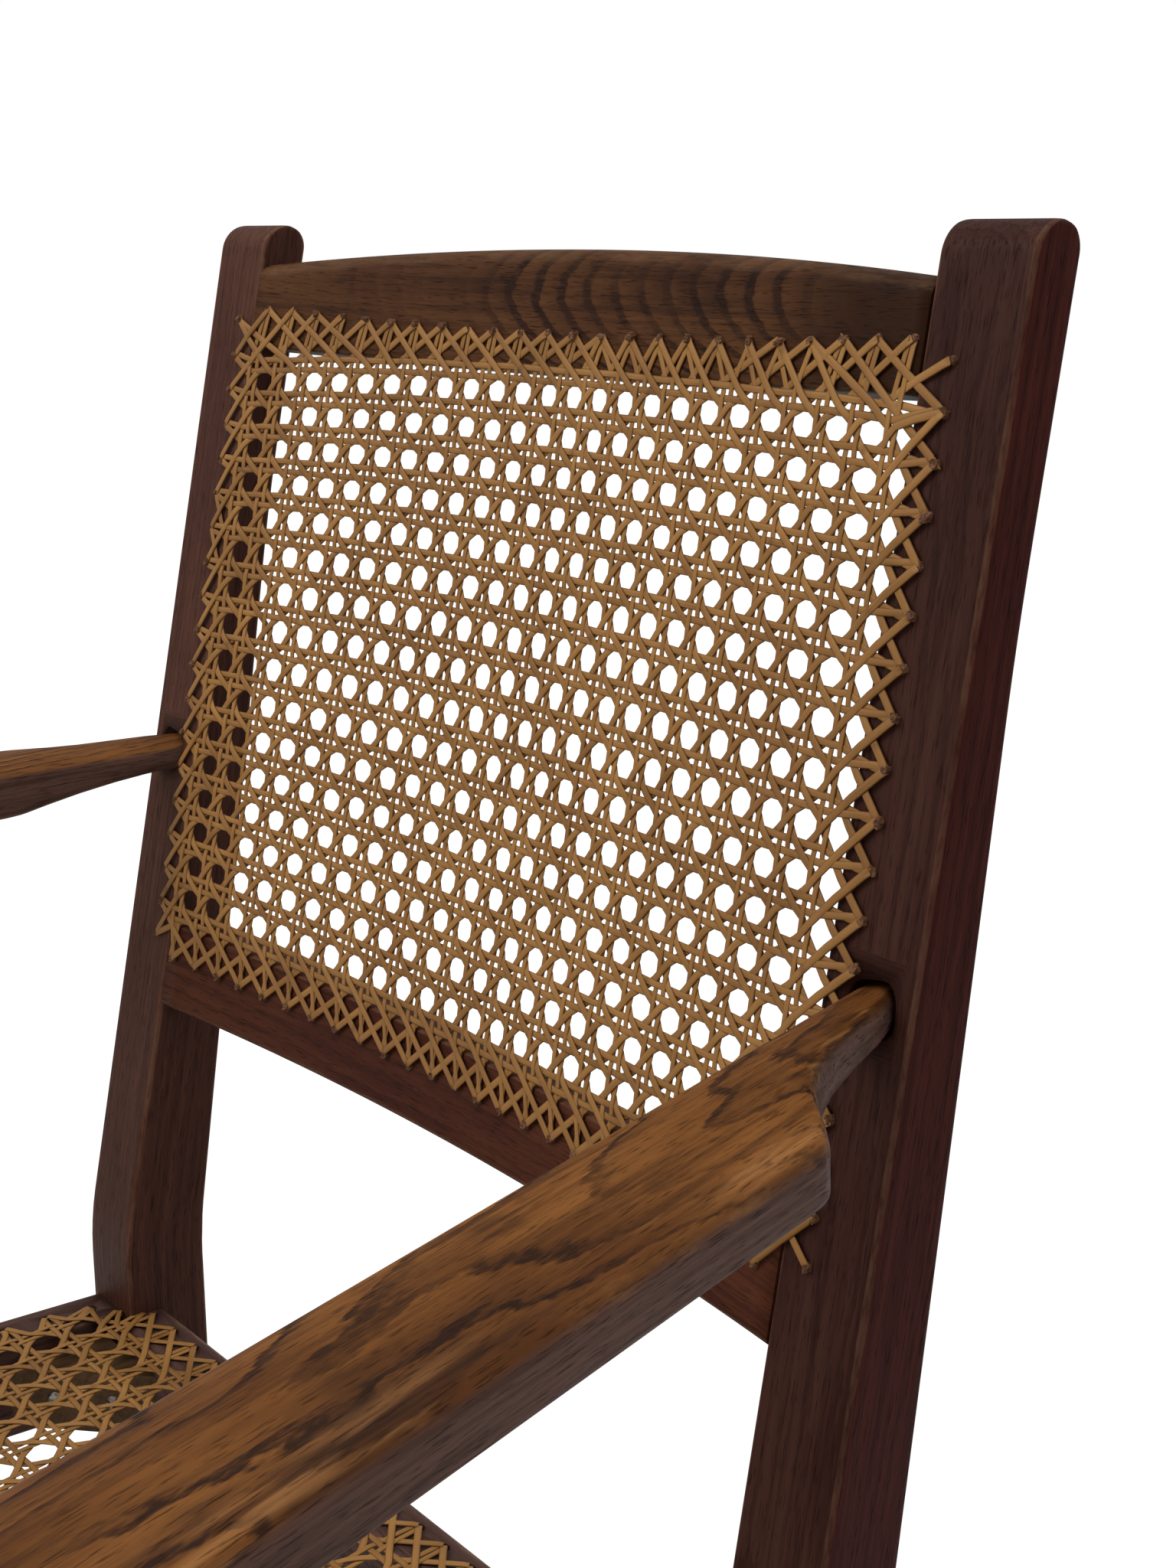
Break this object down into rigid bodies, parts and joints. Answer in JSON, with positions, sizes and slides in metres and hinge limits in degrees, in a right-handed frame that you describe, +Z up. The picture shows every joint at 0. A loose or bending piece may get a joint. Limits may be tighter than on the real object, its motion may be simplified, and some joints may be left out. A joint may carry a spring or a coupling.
{
  "type": "armchair",
  "caption": "Open wooden armchair with a raked, bowed cane back, a cane seat, broad arms set into the posts on outswept supports, and low stretchers.",
  "frame": {"origin": "on the floor, at the middle of the chair's bounding box in plan", "axes": "+Z up, the sitter faces -Y, +X to the sitter's left, and the chair is symmetric about X = 0"},
  "size_m": [0.6664, 0.567, 0.9035],
  "materials": {
    "post_oak": "dark-stained oak, rubbed lighter along its edges, satin",
    "frame_oak": "dark-stained oak, satin",
    "crest_oak": "stained oak with a flamed grain, satin",
    "arm_oak": "golden-brown oak with open grain, worn by hands, satin",
    "cane": "hand-woven split cane, natural, slightly glossy",
    "block_wood": "plain unstained hardwood, matt",
    "pin_wood": "dark hardwood pins, satin",
    "screw_steel": "plain steel, dulled"
  },
  "bodies": {
    "root": {"arm_left": "arm_oak", "arm_right": "arm_oak", "arm_screws": "screw_steel", "back_post_left": "post_oak", "back_post_right": "post_oak", "cane_back": "cane", "cane_seat": "cane", "corner_block_front_left": "block_wood", "corner_block_front_right": "block_wood", "corner_block_rear_left": "block_wood", "corner_block_rear_right": "block_wood", "crest_rail": "crest_oak", "cross_stretcher": "frame_oak", "front_leg_left": "frame_oak", "front_leg_right": "frame_oak", "lower_back_rail": "frame_oak", "rail_tenon_pins": "pin_wood", "seat_rail_front": "frame_oak", "seat_rail_left": "frame_oak", "seat_rail_rear": "frame_oak", "seat_rail_right": "frame_oak", "side_stretcher_left": "frame_oak", "side_stretcher_right": "frame_oak"}
  },
  "joints": []
}
